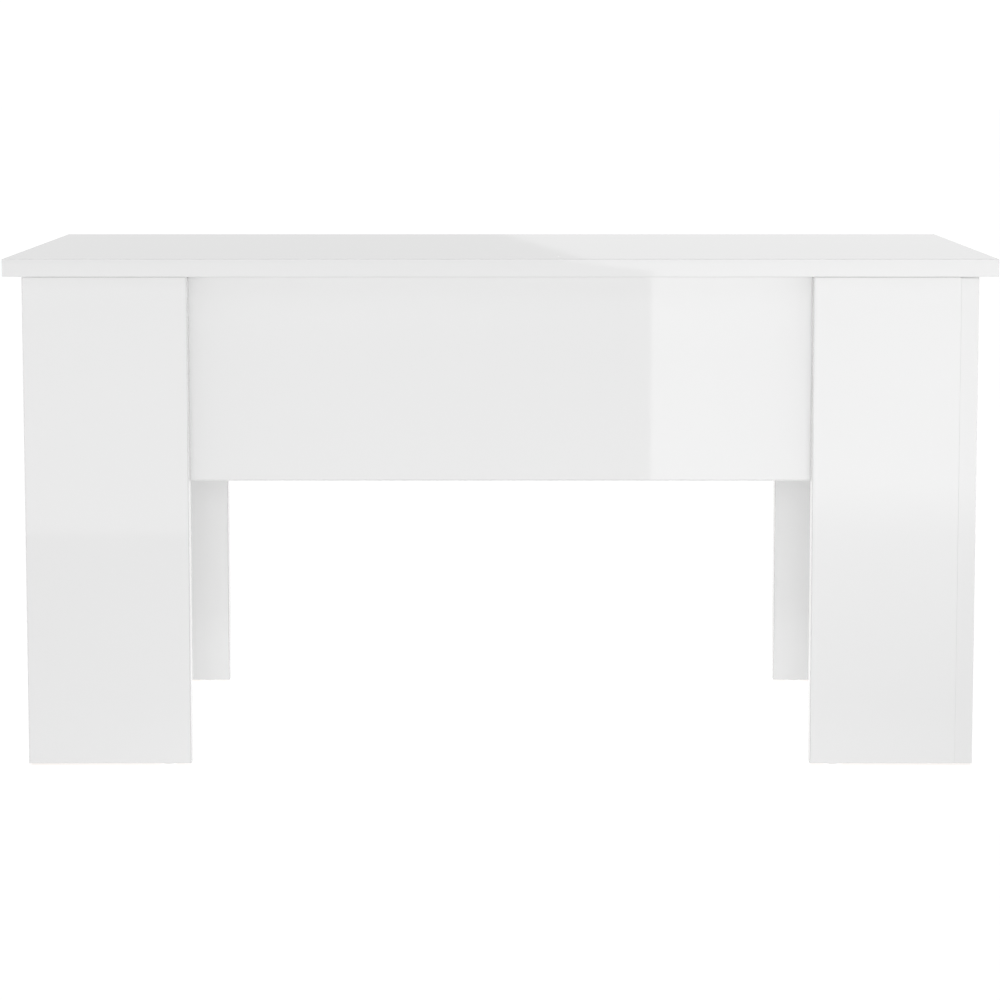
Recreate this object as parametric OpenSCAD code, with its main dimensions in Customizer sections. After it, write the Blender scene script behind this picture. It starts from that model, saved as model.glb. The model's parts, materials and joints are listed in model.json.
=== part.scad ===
// Lift top coffee table, millimetres.
// X runs along the width, Y from the front (-) to the back (+), Z up.
// The origin is on the floor, under the middle of the closed top.
// The top rises and comes forward on two parallel pairs of arms, one pair at each end of the box.

/* [Overall] */
// Width of the lift top
top_w = 1010; // [900:5:1200]
// Depth of the lift top
top_d = 490; // [480:5:560]
// Height of the closed table
table_h = 524; // [510:1:560]
// Thickness of the top, the legs and the box panels
board_t = 18; // [16:1:20]

/* [Legs] */
// Width of a leg across each of its two faces
leg_w = 168; // [150:1:190]
// How far the top stands out past the legs at each end
end_overhang = 18; // [12:1:30]
// How far the top stands out past the legs at the front and at the back
front_overhang = 12; // [6:1:15]
// Height of the floor glides
glide_h = 2; // [1.5:0.5:4]

/* [Storage box] */
// Height of the box panels
box_h = 211; // [205:1:230]
// Thickness of the box floor
floor_t = 15; // [14:1:16]
// How far the box floor lies above the lower edge of the panels
floor_raise = 4; // [2:1:8]
// Thickness of the edge bands
band_t = 1; // [0.8:0.2:2]
// Gap between the closed top and the legs, which the rubber pads fill
top_gap = 1; // [0.8:0.2:3]

/* [Lift mechanism] */
// Length of an arm from pivot to pivot
arm_len = 230; // [220:1:234]
// Angle of the arms above level when the top is down
arm_rest_deg = 10; // [8:0.5:10]
// Angle that the arms turn through as the top comes up
lift_deg = 95; // [80:1:100]
// Distance between the two lower pivots
pivot_gap = 80; // [76:1:84]
// Slope of the line through the two lower pivots
pivot_slope_deg = 25; // [23:1:26]
// Width of an arm
arm_w = 18; // [16:1:20]
// Thickness of an arm
arm_t = 4; // [3:0.5:4]
// Distance of the spring post from the rear arm's lower pivot
horn_r = 26; // [24:1:28]

/* [Hidden] */
$fn = 48;

play = 0.05;                  // radial play of a pin or screw in its hole
axial_play = 0.1;             // play along a pivot pin on each side of an arm
band_gap = 0.1;               // gap that parts two edge bands at a corner
cut = 1;                      // how far a cut runs on past the face that it opens
skin = 0.01;                  // the same, for a cone that must keep its rim
near = 0.5;                   // a joint's point this near to a board still counts as in it

// Half sizes of the legs' footprint and of the box
foot_x = top_w / 2 - end_overhang;
foot_y = top_d / 2 - front_overhang;
box_x = foot_x - board_t;
box_y = foot_y - board_t;
wall_x = box_x - board_t;     // inner faces of the box's end panels
wall_y = box_y - board_t;     // inner faces of the box's front and back panels

top_z = table_h - board_t;    // underside of the top
leg_top_z = top_z - top_gap;
leg_hi_z = leg_top_z - band_t;  // upper ends of the leg boards, under their edge bands
leg_lo_z = glide_h;
box_z = leg_top_z - box_h;    // lower edge of the box panels
floor_z = box_z + floor_raise;
floor_mid_z = floor_z + floor_t / 2;

// Cam fittings: the lock sits back from the joint, and its bolt crosses the joint
cam_r = 7.5;
cam_h = 12;
cam_back = 24;
cam_sink = 0.2;
cam_bore_play = 0.1;          // room under a lock in its bore
cam_cross = [8, 1.4, 2];      // cross slot in a lock: length, width, depth
cam_channel_len = 15;
cover_r = 8.5;
cover_t = 0.8;
cam_channel_r = 3.8;
bolt_head_r = 3.5;
bolt_head_len = 4;
bolt_head_play = 0.5;         // room behind a bolt's head
bolt_neck_r = 2.5;
bolt_thread_r = 3;
bolt_thread_len = 10;
bolt_way_r = 4;

dowel_r = 4;
dowel_deep = 16;              // length in the end of one board
dowel_shallow = 12;           // length in the face of the other
dowel_end_play = 1;           // room at each end of a dowel

// Screws: head radius, head height, shank radius, length under the head
leg_screw_bite = 11;          // length of a leg screw in the leg's board
LEG_SCREW = [5, 2.4, 2.25, board_t + leg_screw_bite];
TOP_SCREW = [4.2, 2.2, 2, 14];
BASE_SCREW = [4.2, 2.2, 2, 15];
screw_end_play = 1;           // room past a screw's tip
screw_tip = [3, 0.5];         // length of the pointed tip, and its end's radius
pan_taper = 0.8;              // outer radius of a pan head, as a share of its inner one
recess_w = 1;                 // cross recess in every screw head
recess_d = 1.2;
recess_share = 1.1;           // length of the recess, as a share of the head's radius

pad_r = 6;
pad_play = 0.2;               // gap that the pads leave under the closed top
glide_r = 8;
glide_in = 24;                // from a board's free edge to the middle of its glide

// Layers of the mechanism, counted inwards from the inner face of the end panel
base_plate_t = 3;
bracket_in = 1.2;
bracket_t = 2;
arm_gap = 1.1;                // between the base plate and an arm, where a washer sits
arm_in = base_plate_t + arm_gap;
arm_out = arm_in + arm_t;
rivet_play = 0.3;             // between an arm and a rivet's head
rivet_in = arm_out + rivet_play;
rivet_t = 2;
rivet_r = 7.5;
pin_r = 4;
hub_r = 11;
washer_r = 9;
flange_w = 30;                // width of the top bracket's level flange

// Pivots in the Y-Z plane: lower front, lower rear, and the two upper ones with the top down
function ray(r, a) = [r * cos(a), r * sin(a)];
pivot_y = -54;
pivot_drop = 88;              // below the top of the box
P_REAR = [pivot_y, leg_top_z - pivot_drop];
P_FRONT = P_REAR + ray(pivot_gap, 180 - pivot_slope_deg);
Q_REAR = P_REAR + ray(arm_len, arm_rest_deg);
Q_FRONT = P_FRONT + ray(arm_len, arm_rest_deg);

// The front arm's leading edge meets the stop stud when the top is fully up
up_deg = arm_rest_deg + lift_deg;
stop_r = 4;
stop_reach = 22;
stop_ear_r = 9;
stop_play = 0.3;
stop_side = arm_w / 2 + stop_r + stop_play;
STOP = P_FRONT + ray(stop_reach, up_deg) + ray(stop_side, up_deg + 90);

// The spring runs from a post on the rear arm's horn to an anchor on the base plate
horn_deg = arm_rest_deg + 185;
horn_w = 14;
HORN = P_REAR + ray(horn_r, horn_deg);
anchor_reach = 180;
anchor_deg = -15;
ANCHOR = P_REAR + ray(anchor_reach, anchor_deg);
spring_len = norm(HORN - ANCHOR);
spring_deg = atan2(HORN[1] - ANCHOR[1], HORN[0] - ANCHOR[0]);
spring_layer = 17;
coil_r = 6;
wire_r = 0.8;
post_r = 3;
hook_play = 0.3;
hook_r = post_r + hook_play + wire_r;
coil_pitch = 3.2;
neck_half = 1.5;              // half the width of the groove that a hook sits in
collar_step = 1.5;            // how much wider the post is before the groove
flange_step = 2;              // and past it
flange_t = 2;

// Outline of the base plate
plate_drop = 62;              // from the rear pivot down to the plate's lower edge
plate_past_anchor = 15;
plate_foot_z = P_REAR[1] - plate_drop;
plate_front_y = STOP[0] - stop_ear_r;
plate_back_y = ANCHOR[0] + plate_past_anchor;
strap_h = 28;
boss_r = 15;
// A long hole that lightens the plate, from the rear pivot to the middles of its round ends
SLOT = [[-48, -26], [-12, -32]];
slot_w = 14;
plate_screw_in = strap_h / 2;
upper_screw_rise = 62;
mid_screw_y = 85;
anchor_screw_y = -34;
BASE_SCREWS = [
    [plate_front_y + plate_screw_in, plate_foot_z + plate_screw_in],
    [plate_front_y + plate_screw_in, plate_foot_z + upper_screw_rise],
    [P_REAR[0], plate_foot_z + plate_screw_in],
    [P_REAR[0] + mid_screw_y, plate_foot_z + plate_screw_in],
    [ANCHOR[0] + anchor_screw_y, plate_foot_z + plate_screw_in],
];
plate_pilot = 12;             // depth of the pilot holes under the base plate
// Outline of the top bracket
bracket_boss_r = 12;
bracket_ahead = 20;           // from the front pivot to the bracket's front edge
bracket_behind = 14;          // from the rear pivot to its back edge
bracket_front_y = Q_FRONT[0] - bracket_ahead;
bracket_back_y = Q_REAR[0] + bracket_behind;
bracket_front_rise = 4;       // from each upper pivot up to the corner of the outline
bracket_back_rise = 20;
top_screw_edge = 12;
TOP_SCREWS = [
    bracket_front_y + top_screw_edge,
    (bracket_front_y + bracket_back_y) / 2,
    bracket_back_y - top_screw_edge,
];
top_screw_in = bracket_in + 18;

// Cam joints: a point in the joint, the way the bolt points, the way the lock faces, half the board
corner_cam_z = [box_z + 47, leg_top_z - 34];
floor_cam_x = [-300, 0, 300];
floor_cam_y = [-100, 100];
leg_cam_z = [80, 250];
CAMS = concat(
    [for (sx = [-1, 1], sy = [-1, 1], z = corner_cam_z)
        [[sx * (box_x - board_t / 2), sy * wall_y, z], [0, sy, 0], [-sx, 0, 0], board_t / 2]],
    [for (x = floor_cam_x, sy = [-1, 1])
        [[x, sy * wall_y, floor_mid_z], [0, sy, 0], [0, 0, -1], floor_t / 2]],
    [for (y = floor_cam_y, sx = [-1, 1])
        [[sx * wall_x, y, floor_mid_z], [sx, 0, 0], [0, 0, -1], floor_t / 2]],
    [for (s = [-1, 1], z = leg_cam_z)
        [[s * (foot_x - board_t / 2), s * box_y, z], [0, s, 0], [-s, 0, 0], board_t / 2]],
    [for (s = [-1, 1], z = leg_cam_z)
        [[-s * box_x, s * (foot_y - board_t / 2), z], [-s, 0, 0], [0, -s, 0], board_t / 2]]
);

// Dowels: a point in the joint, and the way from the end of one board into the face of the other
corner_dowel_z = box_z + 112;
floor_dowel_x = [-420, -150, 150, 420];
leg_dowel_z = [165, 400];
DOWELS = concat(
    [for (sx = [-1, 1], sy = [-1, 1])
        [[sx * (box_x - board_t / 2), sy * wall_y, corner_dowel_z], [0, sy, 0]]],
    [for (x = floor_dowel_x, sy = [-1, 1]) [[x, sy * wall_y, floor_mid_z], [0, sy, 0]]],
    [for (s = [-1, 1], z = leg_dowel_z)
        [[s * (foot_x - board_t / 2), s * box_y, z], [0, s, 0]]],
    [for (s = [-1, 1], z = leg_dowel_z)
        [[-s * box_x, s * (foot_y - board_t / 2), z], [-s, 0, 0]]]
);

// Screws that hold the legs to the box: the seat of the head, and the way the screw points
leg_screw_x = foot_x - (leg_w + board_t) / 2;
leg_screw_y = wall_y - 12;    // clear of the base plates
leg_screw_z = [box_z + 32, box_z + 132];
LEG_SCREWS = concat(
    [for (sx = [-1, 1], sy = [-1, 1], z = corner_cam_z)
        [[sx * leg_screw_x, sy * wall_y, z], [0, sy, 0]]],
    [for (sx = [-1, 1], sy = [-1, 1], z = leg_screw_z)
        [[sx * wall_x, sy * leg_screw_y, z], [sx, 0, 0]]]
);
// Screws that hold the base plates to the end panels, as seats on the panels' inner faces
PLATE_SCREWS = [for (sx = [-1, 1], p = BASE_SCREWS) [[sx * wall_x, p[0], p[1]], [sx, 0, 0]]];

white = "white";
steel = "silver";
black = "dimgray";

// ---- helpers ----

// Points the local Z axis along dir
module aim(dir) {
    rotate([0, acos(dir[2]), atan2(dir[1], dir[0])]) children();
}

// True when p lies in or on the box from lo to hi
function meets(p, lo, hi) = min([for (i = [0:2]) min(p[i] - lo[i], hi[i] - p[i])]) > -near;

// Turns a Y-Z outline into a plate, between two layers at the left end panel
module layer(s0, s1) {
    translate([s0 - wall_x, 0, 0]) rotate([90, 0, 90]) linear_extrude(s1 - s0) children();
}

// Outline of a bar with round ends, from p to q
module bar(p, q, w) {
    translate(p) rotate(atan2(q[1] - p[1], q[0] - p[0]))
        translate([0, -w / 2]) square([norm(q - p), w]);
    translate(p) circle(w / 2);
    translate(q) circle(w / 2);
}

module dot(p, r) {
    translate(p) circle(r);
}

// Mirrors what is modelled at the left end onto the right end
module right_hand() {
    mirror([1, 0, 0]) children();
}

// ---- holes in the boards ----

module cam_bores(j) {
    seat = j[0] - cam_back * j[1];
    translate(seat) aim(j[2]) translate([0, 0, j[3] - cam_h - cam_sink - cam_bore_play])
        cylinder(h = cam_h + cut, r = cam_r);
    head_back = bolt_head_len / 2 + bolt_head_play;
    translate(seat - head_back * j[1]) aim(j[1])
        cylinder(h = head_back + cam_back, r = bolt_way_r);
    translate(j[0]) aim(j[1]) cylinder(h = bolt_thread_len + screw_end_play, r = bolt_thread_r + play);
}

module dowel_bores(j) {
    translate(j[0] - (dowel_deep + dowel_end_play) * j[1]) aim(j[1])
        cylinder(h = dowel_deep + dowel_shallow + 2 * dowel_end_play, r = dowel_r + play);
}

module screw_bore(j, screw) {
    translate(j[0] - cut * j[1]) aim(j[1])
        cylinder(h = cut + screw[3] + screw_end_play, r = screw[2] + play);
}

// A board from corner lo to corner hi, with the holes of every fitting that meets it
module board(lo, hi) {
    difference() {
        translate(lo) cube(hi - lo);
        for (j = CAMS) if (meets(j[0], lo, hi)) cam_bores(j);
        for (j = DOWELS) if (meets(j[0], lo, hi)) dowel_bores(j);
        for (j = LEG_SCREWS) if (meets(j[0], lo, hi) || meets(j[0] + board_t * j[1], lo, hi))
            screw_bore(j, LEG_SCREW);
        for (j = PLATE_SCREWS) if (meets(j[0], lo, hi))
            screw_bore(j, [0, 0, BASE_SCREW[2], plate_pilot]);
    }
}

module strip(lo, hi) {
    translate(lo) cube(hi - lo);
}

// ---- the top ----

module lift_top() {
    color(white) difference() {
        translate([band_t - top_w / 2, band_t - top_d / 2, top_z])
            cube([top_w - 2 * band_t, top_d - 2 * band_t, board_t]);
        for (sx = [-1, 1], y = TOP_SCREWS)
            screw_bore([[sx * (wall_x - top_screw_in), y, top_z], [0, 0, 1]],
                [0, 0, TOP_SCREW[2], TOP_SCREW[3] - bracket_t]);
    }
}

module top_edge_band() {
    color(white) for (s = [-1, 1]) {
        translate([0, s * (top_d - band_t) / 2, top_z + board_t / 2])
            cube([top_w, band_t, board_t], center = true);
        translate([s * (top_w - band_t) / 2, 0, top_z + board_t / 2])
            cube([band_t, top_d - 2 * band_t - band_gap, board_t], center = true);
    }
}

// Steel angle: the upright flange carries the pivots, the level flange is screwed to the top
module top_bracket() {
    color(black) difference() {
        union() {
            layer(bracket_in, bracket_in + bracket_t) {
                dot(Q_FRONT, bracket_boss_r);
                dot(Q_REAR, bracket_boss_r);
                polygon([
                    [bracket_front_y, top_z], [bracket_front_y, Q_FRONT[1] + bracket_front_rise],
                    Q_FRONT + ray(bracket_boss_r, 240), Q_REAR + ray(bracket_boss_r, 240),
                    Q_REAR + ray(bracket_boss_r, 20), [bracket_back_y, Q_REAR[1] + bracket_back_rise],
                    [bracket_back_y, top_z],
                ]);
            }
            translate([bracket_in - wall_x, bracket_front_y, top_z - bracket_t])
                cube([flange_w, bracket_back_y - bracket_front_y, bracket_t]);
        }
        layer(0, arm_in) {
            dot(Q_FRONT, pin_r + play);
            dot(Q_REAR, pin_r + play);
        }
        for (y = TOP_SCREWS) translate([top_screw_in - wall_x, y, top_z - bracket_t - cut])
            cylinder(h = bracket_t + 2 * cut, r = TOP_SCREW[2] + play);
    }
}

// Rivets: a shank through plate, washer and arm, and a head on the inner side
module rivets(points, from) {
    color(steel) for (p = points) {
        layer(from, rivet_in) dot(p, pin_r);
        layer(rivet_in, rivet_in + rivet_t) dot(p, rivet_r);
    }
}

module top_pins() {
    rivets([Q_FRONT, Q_REAR], bracket_in);
}

module washers(points, from) {
    color(white) for (p = points) layer(from, arm_in - axial_play) difference() {
        dot(p, washer_r);
        dot(p, pin_r + play);
    }
}

module top_washers() {
    washers([Q_FRONT, Q_REAR], bracket_in + bracket_t);
    right_hand() washers([Q_FRONT, Q_REAR], bracket_in + bracket_t);
}

// A screw's shank and tip, pointing along +Z
module shank(screw) {
    cylinder(h = screw[3] - screw_tip[0], r = screw[2]);
    translate([0, 0, screw[3] - screw_tip[0]])
        cylinder(h = screw_tip[0], r1 = screw[2], r2 = screw_tip[1]);
}

// The cross recess in a head whose outer face is at height z
module recess(screw, z) {
    for (a = [0, 90]) rotate(a) translate([-screw[0] * recess_share / 2, -recess_w / 2, z - cut])
        cube([screw[0] * recess_share, recess_w, recess_d + cut]);
}

// A screw with its head's underside at the origin
module pan_screw(screw) {
    color(steel) difference() {
        union() {
            translate([0, 0, -screw[1]])
                cylinder(h = screw[1], r1 = screw[0] * pan_taper, r2 = screw[0]);
            shank(screw);
        }
        recess(screw, -screw[1]);
    }
}

// A screw with a countersunk head, whose face is level with the origin
module flat_screw(screw) {
    color(steel) difference() {
        union() {
            cylinder(h = screw[1], r1 = screw[0], r2 = screw[2]);
            shank(screw);
        }
        recess(screw, 0);
    }
}

module top_screws() {
    for (sx = [-1, 1], y = TOP_SCREWS)
        translate([sx * (wall_x - top_screw_in), y, top_z - bracket_t]) pan_screw(TOP_SCREW);
}

// ---- the legs ----
// Each leg is two boards in an L. Going round the table, each leg is the one before it turned a
// quarter, so one board of each leg runs to the corner and the other butts against it.

// The front left leg: the face board runs to the corner, and the side board butts against it
module leg_corner_x() {
    color(white)
        board([band_t - foot_x, -foot_y, leg_lo_z], [leg_w - foot_x - band_t, -box_y, leg_hi_z]);
}

module leg_butt_y() {
    color(white)
        board([-foot_x, -box_y, leg_lo_z], [-box_x, leg_w - foot_y - band_t, leg_hi_z]);
}

// The front right leg: the side board runs to the corner, and the face board butts against it
module leg_corner_y() {
    color(white)
        board([box_x, band_t - foot_y, leg_lo_z], [foot_x, leg_w - foot_y - band_t, leg_hi_z]);
}

module leg_butt_x() {
    color(white)
        board([foot_x - leg_w + band_t, -foot_y, leg_lo_z], [box_x, -box_y, leg_hi_z]);
}

module half_turn() {
    rotate(180) children();
}

// A band on a board's upright edge, and one along its upper end
module upright_band(x0, x1, y0, y1) {
    strip([x0, y0, leg_lo_z], [x1, y1, leg_hi_z - band_gap]);
}

module end_band(x0, x1, y0, y1) {
    strip([x0, y0, leg_hi_z], [x1, y1, leg_top_z]);
}

module leg_edge_bands() {
    // A leg's free edges, away from its corner
    free = leg_w - foot_x;
    free_y = leg_w - foot_y;
    color(white) for (turn = [0, 180]) rotate(turn) {
        upright_band(-foot_x, band_t - foot_x, -foot_y, -box_y);
        upright_band(free - band_t, free, -foot_y, -box_y);
        upright_band(-foot_x, -box_x, free_y - band_t, free_y);
        end_band(-foot_x, free, -foot_y, -box_y);
        end_band(-foot_x, -box_x, band_gap - box_y, free_y);

        upright_band(box_x, foot_x, -foot_y, band_t - foot_y);
        upright_band(box_x, foot_x, free_y - band_t, free_y);
        upright_band(-free, band_t - free, -foot_y, -box_y);
        end_band(box_x, foot_x, -foot_y, free_y);
        end_band(-free, box_x - band_gap, -foot_y, -box_y);
    }
}

// Two nail-on glides under each leg, one under each board
module floor_glides() {
    far = leg_w - glide_in;
    color(white) for (sx = [-1, 1], sy = [-1, 1]) {
        translate([sx * (foot_x - far), sy * (foot_y - board_t / 2), 0])
            cylinder(h = glide_h, r = glide_r);
        translate([sx * (foot_x - board_t / 2), sy * (foot_y - far), 0])
            cylinder(h = glide_h, r = glide_r);
    }
}

module rubber_pads() {
    color("gainsboro") for (sx = [-1, 1], sy = [-1, 1])
        translate([sx * (foot_x - board_t / 2), sy * (foot_y - board_t / 2), leg_top_z])
            cylinder(h = top_gap - pad_play, r = pad_r);
}

// ---- the storage box ----

box_lo_z = box_z + band_t;
box_hi_z = leg_top_z - band_t;

module box_front() {
    color(white) board([-box_x, -box_y, box_lo_z], [box_x, -wall_y, box_hi_z]);
}

module box_back() {
    color(white) board([-box_x, wall_y, box_lo_z], [box_x, box_y, box_hi_z]);
}

module box_left() {
    color(white) board([-box_x, -wall_y, box_lo_z], [-wall_x, wall_y, box_hi_z]);
}

module box_right() {
    color(white) board([wall_x, -wall_y, box_lo_z], [box_x, wall_y, box_hi_z]);
}

module box_floor() {
    color(white) board([-wall_x, -wall_y, floor_z], [wall_x, wall_y, floor_z + floor_t]);
}

module box_edge_bands() {
    color(white) for (z = [box_z, box_hi_z], s = [-1, 1]) {
        translate([0, s * (box_y + wall_y) / 2, z + band_t / 2])
            cube([2 * box_x, board_t, band_t], center = true);
        translate([s * (box_x + wall_x) / 2, 0, z + band_t / 2])
            cube([board_t, 2 * wall_y - band_gap, band_t], center = true);
    }
}

// ---- fittings of the boards ----

module cam_locks() {
    color(steel) for (j = CAMS) {
        seat = j[0] - cam_back * j[1];
        difference() {
            translate(seat) aim(j[2]) translate([0, 0, j[3] - cam_h - cam_sink])
                cylinder(h = cam_h, r = cam_r - play);
            translate(seat - bolt_head_r * j[1]) aim(j[1])
                cylinder(h = cam_channel_len, r = cam_channel_r);
            translate(seat) aim(j[2]) translate([0, 0, j[3] - cam_sink]) for (a = [0, 90])
                rotate(a) cube([cam_cross[0], cam_cross[1], 2 * cam_cross[2]], center = true);
        }
    }
}

// Steel bolts: a head in the lock, a neck, and a thread in the next board
module cam_bolts() {
    color(steel) for (j = CAMS) translate(j[0] - cam_back * j[1]) aim(j[1]) {
        cylinder(h = bolt_head_len, r = bolt_head_r, center = true);
        cylinder(h = cam_back, r = bolt_neck_r);
        translate([0, 0, cam_back]) cylinder(h = bolt_thread_len, r = bolt_thread_r);
    }
}

module cam_covers() {
    color(white) for (j = CAMS) translate(j[0] - cam_back * j[1] + j[3] * j[2]) aim(j[2])
        cylinder(h = cover_t, r = cover_r);
}

module wood_dowels() {
    color("burlywood") for (j = DOWELS) translate(j[0] - dowel_deep * j[1]) aim(j[1])
        cylinder(h = dowel_deep + dowel_shallow, r = dowel_r);
}

module leg_screws() {
    for (j = LEG_SCREWS) translate(j[0]) aim(j[1]) pan_screw(LEG_SCREW);
}

// ---- the lift mechanism, left end ----

module base_plate() {
    flush = base_plate_t - BASE_SCREW[1];
    color(black) difference() {
        layer(0, base_plate_t) difference() {
            union() {
                polygon([
                    [plate_front_y, plate_foot_z], [plate_back_y, plate_foot_z],
                    [plate_back_y, plate_foot_z + strap_h], P_REAR + ray(boss_r, 0),
                    P_REAR + ray(boss_r, 60), P_FRONT + ray(boss_r, 60),
                    STOP + ray(stop_ear_r, 60), STOP + ray(stop_ear_r, 180),
                ]);
                dot(P_REAR, boss_r);
                dot(P_FRONT, boss_r);
                dot(STOP, stop_ear_r);
            }
            dot(P_REAR, pin_r + play);
            dot(P_FRONT, pin_r + play);
            dot(STOP, stop_r + play);
            dot(ANCHOR, pin_r + play);
            bar(P_REAR + SLOT[0], P_REAR + SLOT[1], slot_w);
        }
        for (p = BASE_SCREWS) {
            layer(-cut, base_plate_t + cut) dot(p, BASE_SCREW[2] + play);
            translate([flush - wall_x, p[0], p[1]]) rotate([0, 90, 0])
                cylinder(h = BASE_SCREW[1] + skin, r1 = BASE_SCREW[2] + play, r2 = BASE_SCREW[0] + play);
        }
    }
}

module base_pins() {
    rivets([P_FRONT, P_REAR], 0);
}

module base_washers() {
    washers([P_FRONT, P_REAR], base_plate_t);
    right_hand() washers([P_FRONT, P_REAR], base_plate_t);
}

module base_screws() {
    for (j = PLATE_SCREWS) translate(j[0] - base_plate_t * j[1]) aim(j[1]) flat_screw(BASE_SCREW);
}

module stop_stud() {
    color(steel) layer(0, arm_out) dot(STOP, stop_r);
}

// Collar, neck for the spring's hook, and a flange that keeps the hook on
module hook_neck(p, from) {
    groove = [spring_layer - neck_half, spring_layer + neck_half];
    layer(from, groove[0]) dot(p, post_r + collar_step);
    layer(groove[0], groove[1]) dot(p, post_r);
    layer(groove[1], groove[1] + flange_t) dot(p, post_r + flange_step);
}

module spring_anchor() {
    color(steel) {
        layer(0, base_plate_t) dot(ANCHOR, pin_r);
        hook_neck(ANCHOR, base_plate_t);
    }
}

module arm(p, q) {
    bar(p, q, arm_w);
    dot(p, hub_r);
    dot(q, hub_r);
}

module front_arm() {
    color(black) layer(arm_in, arm_out) difference() {
        arm(P_FRONT, Q_FRONT);
        dot(P_FRONT, pin_r + play);
        dot(Q_FRONT, pin_r + play);
    }
}

module rear_arm() {
    color(black) layer(arm_in, arm_out) difference() {
        union() {
            arm(P_REAR, Q_REAR);
            bar(P_REAR, HORN, horn_w);
        }
        dot(P_REAR, pin_r + play);
        dot(Q_REAR, pin_r + play);
        dot(HORN, post_r + play);
    }
}

module spring_post() {
    color(steel) {
        layer(arm_in, arm_out) dot(HORN, post_r);
        hook_neck(HORN, arm_out);
    }
}

// Extension spring at its length with the top down: a ribbed tube, with a hook at each end
module spring() {
    first = hook_r + wire_r;
    turns = floor((spring_len - 2 * first) / coil_pitch);
    pitch = (spring_len - 2 * first) / turns;
    outer = [for (i = [0:turns - 1]) each [
        [coil_r - wire_r, first + i * pitch], [coil_r, first + (i + 0.5) * pitch]]];
    inner_r = coil_r - 2 * wire_r;
    crossbar = 2 * (coil_r - 1.5 * wire_r);
    color(steel) translate([spring_layer - wall_x, ANCHOR[0], ANCHOR[1]])
        rotate([spring_deg - 90, 0, 0]) {
            rotate_extrude() polygon(concat(outer, [
                [coil_r - wire_r, spring_len - first],
                [inner_r, spring_len - first], [inner_r, first],
            ]));
            for (z = [0, spring_len]) translate([0, 0, z]) rotate([0, 90, 0])
                rotate_extrude() translate([hook_r, 0]) circle(wire_r, $fn = 24);
            for (z = [first, spring_len - first]) translate([0, 0, z]) rotate([90, 0, 0])
                cylinder(h = crossbar, r = wire_r, center = true, $fn = 24);
        }
}

lift_top();
top_edge_band();
top_bracket();  // top_bracket_left
right_hand() top_bracket();  // top_bracket_right
top_pins();  // top_pins_left
right_hand() top_pins();  // top_pins_right
top_washers();
top_screws();
leg_corner_x();  // leg_front_left_face
leg_butt_y();  // leg_front_left_side
leg_butt_x();  // leg_front_right_face
leg_corner_y();  // leg_front_right_side
half_turn() leg_butt_x();  // leg_back_left_face
half_turn() leg_corner_y();  // leg_back_left_side
half_turn() leg_corner_x();  // leg_back_right_face
half_turn() leg_butt_y();  // leg_back_right_side
leg_edge_bands();
floor_glides();
rubber_pads();
box_front();
box_back();
box_left();
box_right();
box_floor();
box_edge_bands();
cam_locks();
cam_bolts();
cam_covers();
wood_dowels();
leg_screws();
base_plate();  // base_plate_left
right_hand() base_plate();  // base_plate_right
base_pins();  // base_pins_left
right_hand() base_pins();  // base_pins_right
base_washers();
base_screws();
stop_stud();  // stop_stud_left
right_hand() stop_stud();  // stop_stud_right
spring_anchor();  // spring_anchor_left
right_hand() spring_anchor();  // spring_anchor_right
front_arm();  // front_arm_left
right_hand() front_arm();  // front_arm_right
rear_arm();  // rear_arm_left
right_hand() rear_arm();  // rear_arm_right
spring_post();  // spring_post_left
right_hand() spring_post();  // spring_post_right
spring();  // spring_left
right_hand() spring();  // spring_right
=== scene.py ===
"""Looks of the lift top coffee table: materials, turned pieces, springs, studio and camera."""
import json
import math

import bmesh
import bpy
from mathutils import Matrix, Vector


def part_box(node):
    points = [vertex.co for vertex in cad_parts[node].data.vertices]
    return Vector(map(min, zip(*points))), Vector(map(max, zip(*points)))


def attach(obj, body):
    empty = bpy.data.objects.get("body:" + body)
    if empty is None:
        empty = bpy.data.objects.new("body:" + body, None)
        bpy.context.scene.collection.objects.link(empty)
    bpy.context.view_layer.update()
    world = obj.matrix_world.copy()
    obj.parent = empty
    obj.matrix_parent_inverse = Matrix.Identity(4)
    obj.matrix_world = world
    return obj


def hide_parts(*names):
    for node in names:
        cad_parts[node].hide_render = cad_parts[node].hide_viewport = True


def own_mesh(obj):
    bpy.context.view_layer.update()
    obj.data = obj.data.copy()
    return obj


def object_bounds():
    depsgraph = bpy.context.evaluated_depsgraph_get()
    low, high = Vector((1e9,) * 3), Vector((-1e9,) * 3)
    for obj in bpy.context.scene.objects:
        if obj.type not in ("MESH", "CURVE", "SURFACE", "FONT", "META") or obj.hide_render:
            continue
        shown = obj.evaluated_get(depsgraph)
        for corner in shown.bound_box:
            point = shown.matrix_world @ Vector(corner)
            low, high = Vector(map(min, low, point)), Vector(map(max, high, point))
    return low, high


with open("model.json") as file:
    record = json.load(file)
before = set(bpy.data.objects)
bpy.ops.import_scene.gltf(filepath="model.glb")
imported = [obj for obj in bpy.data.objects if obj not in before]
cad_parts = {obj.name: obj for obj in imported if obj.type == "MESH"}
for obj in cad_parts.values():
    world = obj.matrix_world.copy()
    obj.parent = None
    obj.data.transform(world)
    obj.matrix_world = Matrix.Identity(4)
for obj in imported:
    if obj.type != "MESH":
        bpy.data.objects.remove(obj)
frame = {"nodes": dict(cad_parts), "record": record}
cad_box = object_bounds()
NODES = frame["nodes"]
SLOT_OF = {s["node"]: s["material_slot"] for s in frame["record"]["subparts"]}
JOINTS = {j["name"]: j for j in frame["record"]["behaviour"]["joints"]}

SIDES = ("left", "right")


# ---------------------------------------------------------------- material helpers

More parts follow.
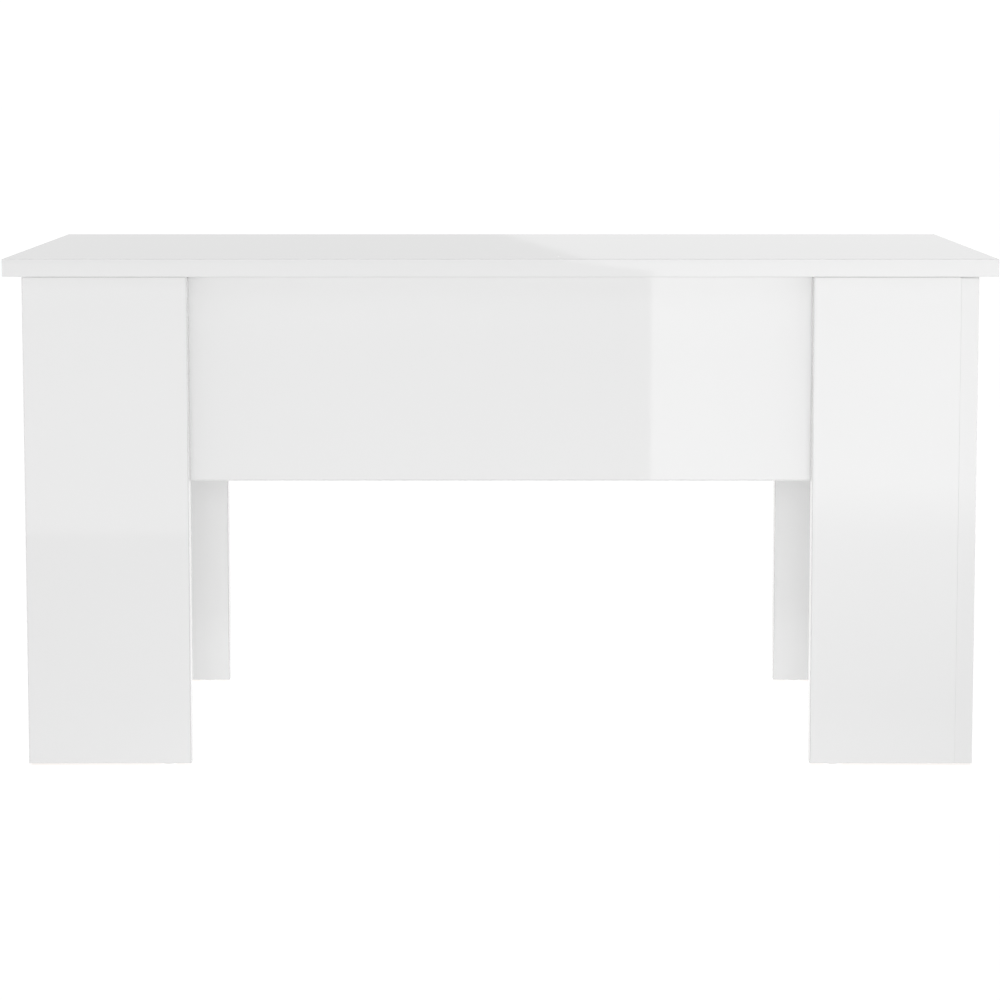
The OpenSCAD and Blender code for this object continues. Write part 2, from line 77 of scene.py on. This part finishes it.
def new_material(name, roughness, metallic=0.0):
    """A node material with its shader's constants set, and its node tree's parts."""
    mat = bpy.data.materials.new(name)
    mat.use_nodes = True
    shader = mat.node_tree.nodes["Principled BSDF"]
    shader.inputs["Roughness"].default_value = roughness
    shader.inputs["Metallic"].default_value = metallic
    return mat, mat.node_tree, shader


def add(tree, kind, **inputs):
    """A new node, with the given sockets set to numbers or linked to other sockets."""
    node = tree.nodes.new(kind)
    for key, value in inputs.items():
        socket = node.inputs[key.replace("_", " ")]
        if isinstance(value, bpy.types.NodeSocket):
            tree.links.new(value, socket)
        else:
            socket.default_value = value
    return node


def object_coords(tree, stretch=(1, 1, 1)):
    """Object coordinates in metres, stretched along the axes."""
    coord = add(tree, "ShaderNodeTexCoord")
    mapping = add(tree, "ShaderNodeMapping", Vector=coord.outputs["Object"], Scale=stretch)
    return mapping.outputs["Vector"]


def noise(tree, vector, scale, detail=2.0, roughness=0.5):
    node = add(tree, "ShaderNodeTexNoise", Vector=vector, Scale=scale, Detail=detail,
               Roughness=roughness)
    return node.outputs["Fac"]


def map_range(tree, value, source, target):
    """Carries a value over from one (from, to) range to another. Either end may be a link."""
    node = add(tree, "ShaderNodeMapRange", Value=value)
    for key, number in zip(("From Min", "From Max", "To Min", "To Max"), (*source, *target)):
        if isinstance(number, bpy.types.NodeSocket):
            tree.links.new(number, node.inputs[key])
        else:
            node.inputs[key].default_value = number
    return node


def ramp(tree, fac, stops):
    """A colour ramp from a list of (position, grey or colour)."""
    node = add(tree, "ShaderNodeValToRGB", Fac=fac)
    points = node.color_ramp.elements
    while len(points) < len(stops):
        points.new(0.5)
    for point, (position, colour) in zip(points, stops):
        point.position = position
        if isinstance(colour, (int, float)):
            colour = (colour, colour, colour)
        point.color = (*colour, 1)
    return node.outputs["Color"]


def math_node(tree, operation, a, b):
    node = tree.nodes.new("ShaderNodeMath")
    node.operation = operation
    for socket, value in zip(node.inputs, (a, b)):
        if isinstance(value, bpy.types.NodeSocket):
            tree.links.new(value, socket)
        else:
            socket.default_value = value
    return node.outputs[0]


def mix(tree, fac, a, b):
    """Mixes two colours."""
    node = tree.nodes.new("ShaderNodeMix")
    node.data_type = "RGBA"
    for socket, value in ((node.inputs[0], fac), (node.inputs[6], a), (node.inputs[7], b)):
        if isinstance(value, bpy.types.NodeSocket):
            tree.links.new(value, socket)
        else:
            socket.default_value = value if isinstance(value, float) else (*value, 1)
    return node.outputs[2]


def bump(tree, shader, height, distance, strength=1.0):
    node = add(tree, "ShaderNodeBump", Height=height, Distance=distance, Strength=strength)
    tree.links.new(node.outputs["Normal"], shader.inputs["Normal"])


FACING = 0.97                    # cosine above which a surface counts as facing along an axis


def facing(tree, axis, sign):
    """1 where the surface faces along sign times the axis, else 0. Boards never turn."""
    coord = add(tree, "ShaderNodeTexCoord")
    parts = add(tree, "ShaderNodeSeparateXYZ", Vector=coord.outputs["Normal"])
    value = math_node(tree, "MULTIPLY", parts.outputs[axis], float(sign))
    return math_node(tree, "GREATER_THAN", value, FACING)


# ---------------------------------------------------------------- materials

GLOSS_WHITE = ((0.772, 0.772, 0.772), (0.788, 0.788, 0.788))
MATT_WHITE = ((0.74, 0.74, 0.735), (0.77, 0.77, 0.765))
CHIP_COLOURS = (
    (0.0, (0.16, 0.09, 0.045)), (0.35, (0.36, 0.23, 0.12)),
    (0.6, (0.55, 0.39, 0.23)), (1.0, (0.72, 0.56, 0.37)),
)


def chipboard(tree):
    """Colour and height of the raw pressed chips in a sawn edge."""
    coords = object_coords(tree)
    chips = add(tree, "ShaderNodeTexVoronoi", Vector=coords, Scale=420.0, Randomness=1.0)
    fine = noise(tree, coords, 1600.0, 3.0, 0.7)
    grey = add(tree, "ShaderNodeRGBToBW", Color=chips.outputs["Color"]).outputs["Val"]
    value = math_node(tree, "ADD", math_node(tree, "MULTIPLY", grey, 0.7),
                      math_node(tree, "MULTIPLY", fine, 0.3))
    return ramp(tree, value, CHIP_COLOURS), value


def board_material(name, raw_ends=False, matt_faces=()):
    """White high-gloss faced board. matt_faces lists (axis, sign) of plain matt faces; raw_ends
    shows chipboard on the faces that look up and down."""
    mat, tree, shader = new_material(name, 0.03)
    coords = object_coords(tree)
    colour = mix(tree, noise(tree, coords, 4.0, 3.0), *GLOSS_WHITE)
    haze = ramp(tree, noise(tree, coords, 60.0, 4.0, 0.6), [(0.3, 0.022), (0.8, 0.045)])
    rough = haze
    peel = noise(tree, coords, 130.0, 1.0)
    height = math_node(tree, "MULTIPLY", peel, 0.02)
    for axis, sign in matt_faces:
        mask = facing(tree, axis, sign)
        dust = noise(tree, coords, 900.0, 2.0)
        colour = mix(tree, mask, colour, mix(tree, noise(tree, coords, 9.0), *MATT_WHITE))
        rough = mix(tree, mask, rough, ramp(tree, dust, [(0.2, 0.42), (0.8, 0.55)]))
        grain = math_node(tree, "MULTIPLY", math_node(tree, "MULTIPLY", dust, mask), 0.6)
        height = math_node(tree, "ADD", height, grain)
    if raw_ends:
        mask = math_node(tree, "MAXIMUM", facing(tree, 2, 1), facing(tree, 2, -1))
        chips, relief = chipboard(tree)
        colour = mix(tree, mask, colour, chips)
        rough = mix(tree, mask, rough, (0.85, 0.85, 0.85))
        rise = math_node(tree, "MULTIPLY", math_node(tree, "MULTIPLY", relief, mask), 4.0)
        height = math_node(tree, "ADD", height, rise)
    tree.links.new(colour, shader.inputs["Base Color"])
    tree.links.new(rough, shader.inputs["Roughness"])
    bump(tree, shader, height, 0.0001)
    return mat


def band_material():
    """Glossy plastic edge strip: a touch rougher than the board, with faint lines along it."""
    mat, tree, shader = new_material("edge_band", 0.05)
    coords = object_coords(tree)
    colour = mix(tree, noise(tree, coords, 7.0, 2.0), (0.760, 0.760, 0.760), (0.776, 0.776, 0.776))
    tree.links.new(colour, shader.inputs["Base Color"])
    rough = ramp(tree, noise(tree, coords, 90.0, 3.0), [(0.3, 0.035), (0.8, 0.07)])
    tree.links.new(rough, shader.inputs["Roughness"])
    bump(tree, shader, noise(tree, coords, 160.0, 1.0), 0.000003)
    return mat


def black_steel():
    """Black powder coat on steel: fine pebbled skin, a little uneven in gloss."""
    mat, tree, shader = new_material("black_steel", 0.4)
    coords = object_coords(tree)
    colour = mix(tree, noise(tree, coords, 35.0, 4.0), (0.020, 0.020, 0.022), (0.042, 0.042, 0.044))
    tree.links.new(colour, shader.inputs["Base Color"])
    rough = ramp(tree, noise(tree, coords, 220.0, 3.0), [(0.25, 0.32), (0.8, 0.52)])
    tree.links.new(rough, shader.inputs["Roughness"])
    bump(tree, shader, noise(tree, coords, 1400.0, 2.0), 0.00008)
    return mat


def plated_steel(name, dark, light, rough_low, rough_high, scale):
    """Zinc-plated or spring steel: cloudy plating with fine drawing lines."""
    mat, tree, shader = new_material(name, 0.3, metallic=1.0)
    coords = object_coords(tree)
    cloud = noise(tree, coords, scale, 4.0, 0.6)
    tree.links.new(mix(tree, cloud, dark, light), shader.inputs["Base Color"])
    lines = noise(tree, object_coords(tree, (1, 30, 30)), 120.0, 3.0)
    rough = ramp(tree, lines, [(0.2, rough_low), (0.8, rough_high)])
    tree.links.new(rough, shader.inputs["Roughness"])
    bump(tree, shader, lines, 0.00002)
    return mat


def plastic(name, low, high, rough_low, rough_high):
    """Moulded plastic or rubber with a fine satin skin."""
    mat, tree, shader = new_material(name, 0.4)
    coords = object_coords(tree)
    colour = mix(tree, noise(tree, coords, 60.0, 3.0), low, high)
    tree.links.new(colour, shader.inputs["Base Color"])
    skin = noise(tree, coords, 1800.0, 2.0)
    rough = ramp(tree, skin, [(0.2, rough_low), (0.8, rough_high)])
    tree.links.new(rough, shader.inputs["Roughness"])
    bump(tree, shader, skin, 0.00003)
    return mat


def beech():
    """Turned beech dowel: straight grain with small flecks."""
    mat, tree, shader = new_material("beech", 0.6)
    grain = noise(tree, object_coords(tree, (12, 1, 12)), 90.0, 4.0, 0.6)
    flecks = noise(tree, object_coords(tree, (2, 1, 2)), 700.0, 2.0)
    base = mix(tree, grain, (0.50, 0.33, 0.19), (0.72, 0.53, 0.34))
    colour = mix(tree, ramp(tree, flecks, [(0.62, 0.0), (0.7, 1.0)]), base, (0.38, 0.23, 0.12))
    tree.links.new(colour, shader.inputs["Base Color"])
    bump(tree, shader, grain, 0.0001)
    return mat


MATERIALS = {
    "edge_band": band_material(),
    "black_steel": black_steel(),
    "zinc_steel": plated_steel("zinc_steel", (0.50, 0.51, 0.53), (0.70, 0.70, 0.69),
                               0.22, 0.4, 45.0),
    "spring_steel": plated_steel("spring_steel", (0.33, 0.34, 0.36), (0.5, 0.5, 0.52),
                                 0.2, 0.34, 90.0),
    "white_plastic": plastic("white_plastic", (0.80, 0.80, 0.79), (0.84, 0.84, 0.83), 0.3, 0.42),
    "pad_rubber": plastic("pad_rubber", (0.62, 0.63, 0.63), (0.70, 0.71, 0.71), 0.28, 0.4),
    "beech": beech(),
}
LEG_BOARD = board_material("gloss_board_leg", raw_ends=True)
BOARDS = {
    "lift_top": board_material("gloss_board_top", matt_faces=[(2, -1)]),
    "box_front": board_material("gloss_board_front", matt_faces=[(1, 1)]),
    "box_back": board_material("gloss_board_back", matt_faces=[(1, -1)]),
    "box_left": board_material("gloss_board_left", matt_faces=[(0, 1)]),
    "box_right": board_material("gloss_board_right", matt_faces=[(0, -1)]),
    "box_floor": board_material("gloss_board_floor", matt_faces=[(2, 1), (2, -1)]),
}


def paint(obj, mat):
    """Puts one material in every material slot."""
    if not obj.data.materials:
        obj.data.materials.append(mat)
    for i in range(len(obj.data.materials)):
        obj.data.materials[i] = mat


# ---------------------------------------------------------------- CAD nodes that stay

JOIN = 0.000005                  # vertices closer than this are one
# The widths asked for. Next to short edges the modifier narrows them, because they may not overlap:
# the boards, with their small bores, get under 0.1 mm, and the top brackets get none.
BEVEL = {"gloss_board": 0.0005, "edge_band": 0.00035, "black_steel": 0.0004}
FINE_BEVEL = 0.00015


def soften(obj, width):
    """Joins split vertices, rounds sharp edges as far as there is room and keeps flats flat."""
    weld = obj.modifiers.new("weld", "WELD")
    weld.merge_threshold = JOIN
    bevel = obj.modifiers.new("bevel", "BEVEL")
    bevel.width = width
    bevel.segments = 2
    bevel.limit_method = "ANGLE"
    bevel.angle_limit = math.radians(35)
    bevel.use_clamp_overlap = True
    smooth = obj.modifiers.new("flats", "WEIGHTED_NORMAL")
    smooth.keep_sharp = False


def finish_cad_nodes():
    for name, obj in NODES.items():
        kind = SLOT_OF[name]
        if kind == "gloss_board":
            paint(obj, BOARDS.get(name, LEG_BOARD))
        else:
            paint(obj, MATERIALS[kind])
        soften(obj, BEVEL.get(kind, FINE_BEVEL))


# ---------------------------------------------------------------- new pieces

def mesh_piece(name, bm, slot, body, smooth=True):
    """Turns a bmesh into a piece that takes a record slot's finish and rides on a body."""
    mesh = bpy.data.meshes.new(name)
    bmesh.ops.recalc_face_normals(bm, faces=bm.faces)
    for face in bm.faces:
        face.smooth = smooth
    bm.to_mesh(mesh)
    bm.free()
    obj = bpy.data.objects.new(name, mesh)
    bpy.context.scene.collection.objects.link(obj)
    paint(obj, MATERIALS[slot])
    if body:
        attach(obj, body)
    return obj


def aim_matrix(origin, direction):
    """Places local +Z along direction at origin."""
    turn = Vector((0, 0, 1)).rotation_difference(Vector(direction)).to_matrix().to_4x4()
    return Matrix.Translation(origin) @ turn


def lathe(bm, profile, place, steps=40):
    """Turns a profile of (radius, height) round local Z. Radius 0 closes an end."""
    rings = []
    for radius, height in profile:
        if radius == 0:
            rings.append([bm.verts.new(place @ Vector((0, 0, height)))])
            continue
        turn = [2 * math.pi * i / steps for i in range(steps)]
        ring = [Vector((radius * math.cos(a), radius * math.sin(a), height)) for a in turn]
        rings.append([bm.verts.new(place @ point) for point in ring])
    for low, high in zip(rings, rings[1:]):
        for i in range(steps):
            k = (i + 1) % steps
            quad = [low[i % len(low)], low[k % len(low)], high[k % len(high)], high[i % len(high)]]
            corners = list(dict.fromkeys(quad))
            if len(corners) > 2:
                bm.faces.new(corners)


def dome(radius, height, edge, steps=6):
    """Profile of a low round head: straight edge, then an elliptic crown."""
    points = [(0, 0), (radius, 0), (radius, edge)]
    for i in range(1, steps + 1):
        a = math.pi / 2 * i / steps
        out = radius * math.cos(a) if i < steps else 0
        points.append((out, edge + (height - edge) * math.sin(a)))
    return points


def centres(node):
    """Middle of each separate solid in a CAD node, with its lowest and highest corner."""
    bm = bmesh.new()
    bm.from_mesh(NODES[node].data)
    bmesh.ops.remove_doubles(bm, verts=bm.verts, dist=JOIN)
    bm.verts.ensure_lookup_table()
    seen = set()
    found = []
    for start in bm.verts:
        if start.index in seen:
            continue
        stack = [start]
        seen.add(start.index)
        group = []
        while stack:
            vert = stack.pop()
            group.append(vert.co.copy())
            for edge in vert.link_edges:
                other = edge.other_vert(vert)
                if other.index not in seen:
                    seen.add(other.index)
                    stack.append(other)
        low = Vector([min(c[i] for c in group) for i in range(3)])
        high = Vector([max(c[i] for c in group) for i in range(3)])
        found.append(((low + high) / 2, low, high))
    bm.free()
    return found


def domes_for(node, slot, body, direction_of, edge_share=0.35):
    """Replaces each round solid in a node with a domed one of the same size."""
    bm = bmesh.new()
    for middle, low, high in centres(node):
        direction = Vector(direction_of(middle, low, high))
        size = high - low
        axis = max(range(3), key=lambda i: abs(direction[i]))
        radius = max(size[i] for i in range(3) if i != axis) / 2
        height = size[axis]
        place = aim_matrix(middle - direction * height / 2, direction)
        lathe(bm, dome(radius, height, height * edge_share), place)
    piece = mesh_piece(node + "_domed", bm, slot, body)
    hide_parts(node)
    return piece


def cover_direction(middle, low, high):
    """A cover's thin axis, pointing away from the board that it sits on."""
    size = high - low
    axis = min(range(3), key=lambda i: size[i])
    direction = Vector((0, 0, 0))
    if axis == 2:
        direction[2] = -1
    else:
        direction[axis] = -math.copysign(1, middle[axis])
    return direction


SHANK_R = 0.004
HEAD_T = 0.002
HEAD_EDGE = 0.3                  # height of a rivet head's straight edge, as a share of the head
CROWN_STEPS = 8


def make_rivets(side, group, body):
    """Domed rivets: a straight shank, and a low round head on the inner end."""
    node = f"{group}_pins_{side}"
    inward = 1 if side == "left" else -1
    bm = bmesh.new()
    for middle, low, high in centres(node):
        size = high - low
        head_r = size[1] / 2
        length = size[0]
        under = length - HEAD_T
        edge = under + HEAD_T * HEAD_EDGE
        start = Vector((low[0] if inward > 0 else high[0], middle[1], middle[2]))
        crown = [(head_r * math.cos(a), edge + (length - edge) * math.sin(a))
                 for a in (math.pi / 2 * i / CROWN_STEPS for i in range(CROWN_STEPS))]
        profile = [(0, 0), (SHANK_R, 0), (SHANK_R, under), (head_r, under), *crown, (0, length)]
        lathe(bm, profile, aim_matrix(start, (inward, 0, 0)))
    piece = mesh_piece(f"{group}_rivets_{side}", bm, "zinc_steel", body)
    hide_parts(node)


# ---------------------------------------------------------------- springs

WIRE_R = 0.0008
COIL_R = 0.0052
SPRING_PITCH = 0.0031
HOOK_R = 0.00455          # clear of the posts when the spring is squashed, too
SPRING_SIDES = 10
SPRING_STEPS = 20                # points in one turn of the coil
HOOK_STEPS = 22
HOOK_GAP = 15                    # degrees that a hook is open over, on each side, facing the coil
BLEND_STEPS = 4                  # between a hook and the coil


def tube(bm, path, radius, sides):
    """A round tube along a list of points, carried along without twisting, with closed ends."""
    normal = (path[1] - path[0]).orthogonal().normalized()
    rings = []
    for i, point in enumerate(path):
        ahead = (path[min(i + 1, len(path) - 1)] - path[max(i - 1, 0)]).normalized()
        normal = (normal - ahead * normal.dot(ahead)).normalized()
        across = ahead.cross(normal)
        turn = [2 * math.pi * k / sides for k in range(sides)]
        rings.append([bm.verts.new(point + (normal * math.cos(a) + across * math.sin(a)) * radius)
                      for a in turn])
    for low, high in zip(rings, rings[1:]):
        for k in range(sides):
            m = (k + 1) % sides
            bm.faces.new((low[k], low[m], high[m], high[k]))
    bm.faces.new(rings[0])
    bm.faces.new(rings[-1])


def spring_path(anchor, post):
    """A hook round the anchor, the coil, and a hook round the post."""
    along = (post - anchor).normalized()
    sideways = Vector((1, 0, 0))
    up = sideways.cross(along)
    length = (post - anchor).length
    lead = HOOK_R + 3 * WIRE_R
    turns = round((length - 2 * lead) / SPRING_PITCH)

    def hook(centre, ahead):
        """Most of a circle in the plane of the arms, open towards the coil."""
        round_it = 360 - 2 * HOOK_GAP
        angles = [math.radians(HOOK_GAP + round_it * i / HOOK_STEPS) for i in range(HOOK_STEPS + 1)]
        return [centre + HOOK_R * (ahead * math.cos(a) + up * math.sin(a)) for a in angles]

    def blend_in(start, end):
        return [start.lerp(end, i / BLEND_STEPS) for i in range(1, BLEND_STEPS)]

    first = hook(anchor, along)[::-1]
    coil = []
    steps = turns * SPRING_STEPS
    for i in range(steps + 1):
        a = 2 * math.pi * i / SPRING_STEPS
        travel = lead + (length - 2 * lead) * i / steps
        coil.append(anchor + along * travel + COIL_R * (up * math.cos(a) + sideways * math.sin(a)))
    last = hook(post, -along)
    return first + blend_in(first[-1], coil[0]) + coil + blend_in(coil[-1], last[0]) + last


def make_spring(side):
    """The wound spring, which shortens along its own line as its body swings with the arm."""
    swing = JOINTS[f"spring_{side}_swing"]
    anchor = Vector(swing["pos_m"])
    neck_low, neck_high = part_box(f"spring_post_{side}")
    post = Vector((anchor.x, (neck_low.y + neck_high.y) / 2, (neck_low.z + neck_high.z) / 2))
    bm = bmesh.new()
    tube(bm, spring_path(anchor, post), WIRE_R, SPRING_SIDES)
    piece = mesh_piece(f"wound_spring_{side}", bm, "spring_steel", None)
    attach(piece, f"spring_{side}")
    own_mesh(piece)
    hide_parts(f"spring_{side}")


# ---------------------------------------------------------------- studio and camera

CAM_X = 0.008                    # the camera stands a little right of the middle
CAM_Z = 0.7134
CAM_AWAY = 3.178                 # from the front edge of the top
CAM_PITCH = math.radians(5.976)
LENS = 113.12
SHIFT = (-0.00825, -0.10)


def make_camera():
    data = bpy.data.cameras.new("camera")
    data.lens = LENS
    data.sensor_width = 36
    data.shift_x, data.shift_y = SHIFT
    data.clip_start, data.clip_end = 0.05, 200
    camera = bpy.data.objects.new("camera", data)
    camera.location = (CAM_X, cad_box[0].y - CAM_AWAY, CAM_Z)
    camera.rotation_euler = (math.pi / 2 - CAM_PITCH, 0, 0)
    bpy.context.scene.collection.objects.link(camera)
    bpy.context.scene.camera = camera


def glow(name, strength, fade=None):
    """An even light, or one that goes from strength to another along an axis."""
    mat = bpy.data.materials.new(name)
    mat.use_nodes = True
    tree = mat.node_tree
    tree.nodes.clear()
    light = add(tree, "ShaderNodeEmission", Color=(1, 1, 1, 1), Strength=strength)
    if fade:
        axis, start, end, far_strength = fade
        place = add(tree, "ShaderNodeNewGeometry").outputs["Position"]
        along = add(tree, "ShaderNodeSeparateXYZ", Vector=place).outputs[axis]
        scale = map_range(tree, along, (start, end), (strength, far_strength))
        tree.links.new(scale.outputs["Result"], light.inputs["Strength"])
    add(tree, "ShaderNodeOutputMaterial", Surface=light.outputs[0])
    return mat


def card(name, corners, strength, fade=None):
    """A flat card that only reflections see, so it neither lights nor hides anything."""
    mesh = bpy.data.meshes.new(name)
    mesh.from_pydata([Vector(c) for c in corners], [], [tuple(range(len(corners)))])
    obj = bpy.data.objects.new(name, mesh)
    obj.data.materials.append(glow(name, strength, fade))
    bpy.context.scene.collection.objects.link(obj)
    obj.visible_camera = False
    obj.visible_diffuse = False
    obj.visible_shadow = False
    obj.visible_transmission = False
    obj.visible_volume_scatter = False


AMBIENT = 0.50                   # what lights the matt part of every surface
REFLECTED = 0.55                 # what the gloss reflects past the cards
BACKDROP = 1.05                  # what the camera sees
FLOOR_GLOW = 0.78                # the floor is a white light table
UNDER_TABLE_FILL_GLOW = 0.23                # painted light: extra floor glow under the table that fills in the table's shadow there, running out at GLOW_REACH
GLOW_REACH = 0.75
FLOOR_WHITE = 0.30
FLOOR_REACH = 60
LAMP_AWAY = 3.6                  # two round lamps, before and behind the table
LAMP_Z = 0.75
LAMP_AIM_Z = 0.3
LAMP_WATTS = 1.60                # its light doesn't fade with distance
LAMP_SIZE = 0.5
# Soft suns: where each shines from, its strength, and how wide it looks in degrees
SUNS = {
    "left": ((-1, 0, 0.8), 0.12, 40),
    "right": ((1, 0, 0.8), 0.12, 40),
    "before": ((0, -1, 0.8), 0.27, 40),
    "behind": ((0, 1, 0.8), 0.27, 40),
    "overhead": ((0, 0, 1), 0.42, 40),
}
CARD_HALF_W = 3.0
CARD_BEHIND = 0.02               # how far a dim card stands behind the bright one
# Cards before the table: the gloss of its front meets a bright card right of a dim one
FRONT_CARD_Y = -1.85
FRONT_CARD_H = 0.45
DIM_FRONT, BRIGHT_FRONT = 1.7, 3.3
FRONT_LOW = 2.2                  # the bright card fades to this at the floor
FRONT_FADE_Z = 0.08              # starting from this height
FRONT_EDGE_X = 0.229
FRONT_SLANT_Z = 0.4005           # from here up, the edge between the two slants left
FRONT_SLANT = -2.85
# A card on the floor carries the bright card's light towards the table
FLOOR_CARD_Z = 0.002
FLOOR_CARD_END_Y = -0.6
FLOOR_CARD_END = 1.08
# Cards behind the table, for the gloss of the top: the bright one lies below a sloping line
BACK_CARD_Y = 3.0
BACK_CARD_H = 2.2
DIM_BACK, BRIGHT_BACK = 0.82, 0.905
BACK_EDGE_Z = 0.6659             # the line's height over the middle of the table
BACK_SLOPE = 0.313
# Slanting cards towards the four corners, for the gloss of the top seen from there
CORNER_AWAY = 5.0
CORNER_CARD = [(-1.4, 0.6), (3.2, 0.6), (3.2, 5.0), (1.6, 5.0)]   # (sideways, height)
BRIGHT_CORNER = 1.0


def make_world():
    """An even white surround, with a brightness each for light, reflections and the camera."""
    world = bpy.data.worlds.new("studio")
    world.use_nodes = True
    tree = world.node_tree
    path = tree.nodes.new("ShaderNodeLightPath")
    unseen = map_range(tree, path.outputs["Is Glossy Ray"], (0, 1), (AMBIENT, REFLECTED))
    strength = map_range(tree, path.outputs["Is Camera Ray"], (0, 1),
                         (unseen.outputs["Result"], BACKDROP))
    background = tree.nodes["Background"]
    background.inputs["Color"].default_value = (1, 1, 1, 1)
    tree.links.new(strength.outputs["Result"], background.inputs["Strength"])
    return world


def make_floor():
    mesh = bpy.data.meshes.new("floor")
    r = FLOOR_REACH
    mesh.from_pydata([(-r, -r, 0), (r, -r, 0), (r, r, 0), (-r, r, 0)], [], [(0, 1, 2, 3)])
    floor = bpy.data.objects.new("floor", mesh)
    mat, tree, shader = new_material("floor", 0.6)
    shader.inputs["Base Color"].default_value = (FLOOR_WHITE, FLOOR_WHITE, FLOOR_WHITE, 1)
    shader.inputs["Emission Color"].default_value = (1, 1, 1, 1)
    coords = object_coords(tree)
    away = tree.nodes.new("ShaderNodeVectorMath")
    away.operation = "LENGTH"
    tree.links.new(coords, away.inputs[0])
    # painted light: the floor glows brighter under the table, filling in the table's shadow on it
    strength = map_range(tree, away.outputs["Value"], (0.0, GLOW_REACH),
                         (FLOOR_GLOW + UNDER_TABLE_FILL_GLOW, FLOOR_GLOW))
    strength.interpolation_type = "SMOOTHSTEP"
    tree.links.new(strength.outputs["Result"], shader.inputs["Emission Strength"])
    shader.inputs["Specular IOR Level"].default_value = 0.0
    mesh.materials.append(mat)
    bpy.context.scene.collection.objects.link(floor)


def make_lamps():
    """Soft lamps on all sides, which don't show in the gloss."""
    lamps = []
    for name, (source, strength, width) in SUNS.items():
        sun = bpy.data.lights.new(name, "SUN")
        sun.energy = strength
        sun.angle = math.radians(width)
        lamp = bpy.data.objects.new(name, sun)
        lamp.rotation_euler = Vector(source).to_track_quat("Z", "Y").to_euler()
        lamps.append(lamp)
    for name, sign in (("front", -1), ("back", 1)):
        disc = bpy.data.lights.new(name, "AREA")
        disc.shape = "DISK"
        disc.size = LAMP_SIZE
        disc.energy = LAMP_WATTS
        disc.use_nodes = True
        falloff = add(disc.node_tree, "ShaderNodeLightFalloff", Strength=1.0)
        disc.node_tree.links.new(falloff.outputs["Constant"],
                                 disc.node_tree.nodes["Emission"].inputs["Strength"])
        lamp = bpy.data.objects.new(name, disc)
        lamp.location = (0, sign * LAMP_AWAY, LAMP_Z)
        back = Vector((0, sign * LAMP_AWAY, LAMP_Z - LAMP_AIM_Z))
        lamp.rotation_euler = back.to_track_quat("Z", "Y").to_euler()
        lamp.visible_camera = False
        lamps.append(lamp)
    for lamp in lamps:
        lamp.visible_glossy = False
        bpy.context.scene.collection.objects.link(lamp)


def upright(x0, x1, y, z1):
    """Corners of an upright card that stands on the floor, facing along Y."""
    return [(x0, y, 0), (x1, y, 0), (x1, y, z1), (x0, y, z1)]


def make_cards():
    wide = CARD_HALF_W
    edge = FRONT_EDGE_X
    y = FRONT_CARD_Y
    card("front_card_dim", upright(-wide, wide, y - CARD_BEHIND, FRONT_CARD_H), DIM_FRONT)
    slant_x = edge + FRONT_SLANT * (FRONT_CARD_H - FRONT_SLANT_Z)
    card("front_card_bright",
         [(edge, y, 0), (wide, y, 0), (wide, y, FRONT_CARD_H), (slant_x, y, FRONT_CARD_H),
          (edge, y, FRONT_SLANT_Z)],
         BRIGHT_FRONT, (2, FRONT_FADE_Z, 0, FRONT_LOW))
    card("floor_card",
         [(edge, y, FLOOR_CARD_Z), (wide, y, FLOOR_CARD_Z), (wide, FLOOR_CARD_END_Y, FLOOR_CARD_Z),
          (edge, FLOOR_CARD_END_Y, FLOOR_CARD_Z)],
         FRONT_LOW, (1, y, FLOOR_CARD_END_Y, FLOOR_CARD_END))
    y = BACK_CARD_Y
    card("back_card_dim", upright(-wide, wide, y + CARD_BEHIND, BACK_CARD_H), DIM_BACK)
    card("back_card_bright",
         [(-BACK_EDGE_Z / BACK_SLOPE, y, 0), (wide, y, 0),
          (wide, y, BACK_EDGE_Z + wide * BACK_SLOPE)],
         BRIGHT_BACK)
    for turn in (45, 135, 225, 315):
        ahead = Vector((math.sin(math.radians(turn)), math.cos(math.radians(turn)), 0))
        across = Vector((ahead.y, -ahead.x, 0))
        corners = [CORNER_AWAY * ahead + sideways * across + Vector((0, 0, height))
                   for sideways, height in CORNER_CARD]
        card(f"corner_card_{turn}", corners, BRIGHT_CORNER)


def make_studio():
    scene = bpy.context.scene
    scene.view_settings.view_transform = "Standard"
    scene.world = make_world()
    make_floor()
    make_lamps()
    make_cards()


# ---------------------------------------------------------------- build

finish_cad_nodes()
domes_for("rubber_pads", "pad_rubber", "root", lambda m, lo, hi: (0, 0, 1))
domes_for("floor_glides", "white_plastic", "root", lambda m, lo, hi: (0, 0, -1), 0.2)
domes_for("cam_covers", "white_plastic", "root", cover_direction, 0.5)
for end in SIDES:
    make_rivets(end, "base", "root")
    make_rivets(end, "top", "lid")
    make_spring(end)
make_camera()
make_studio()
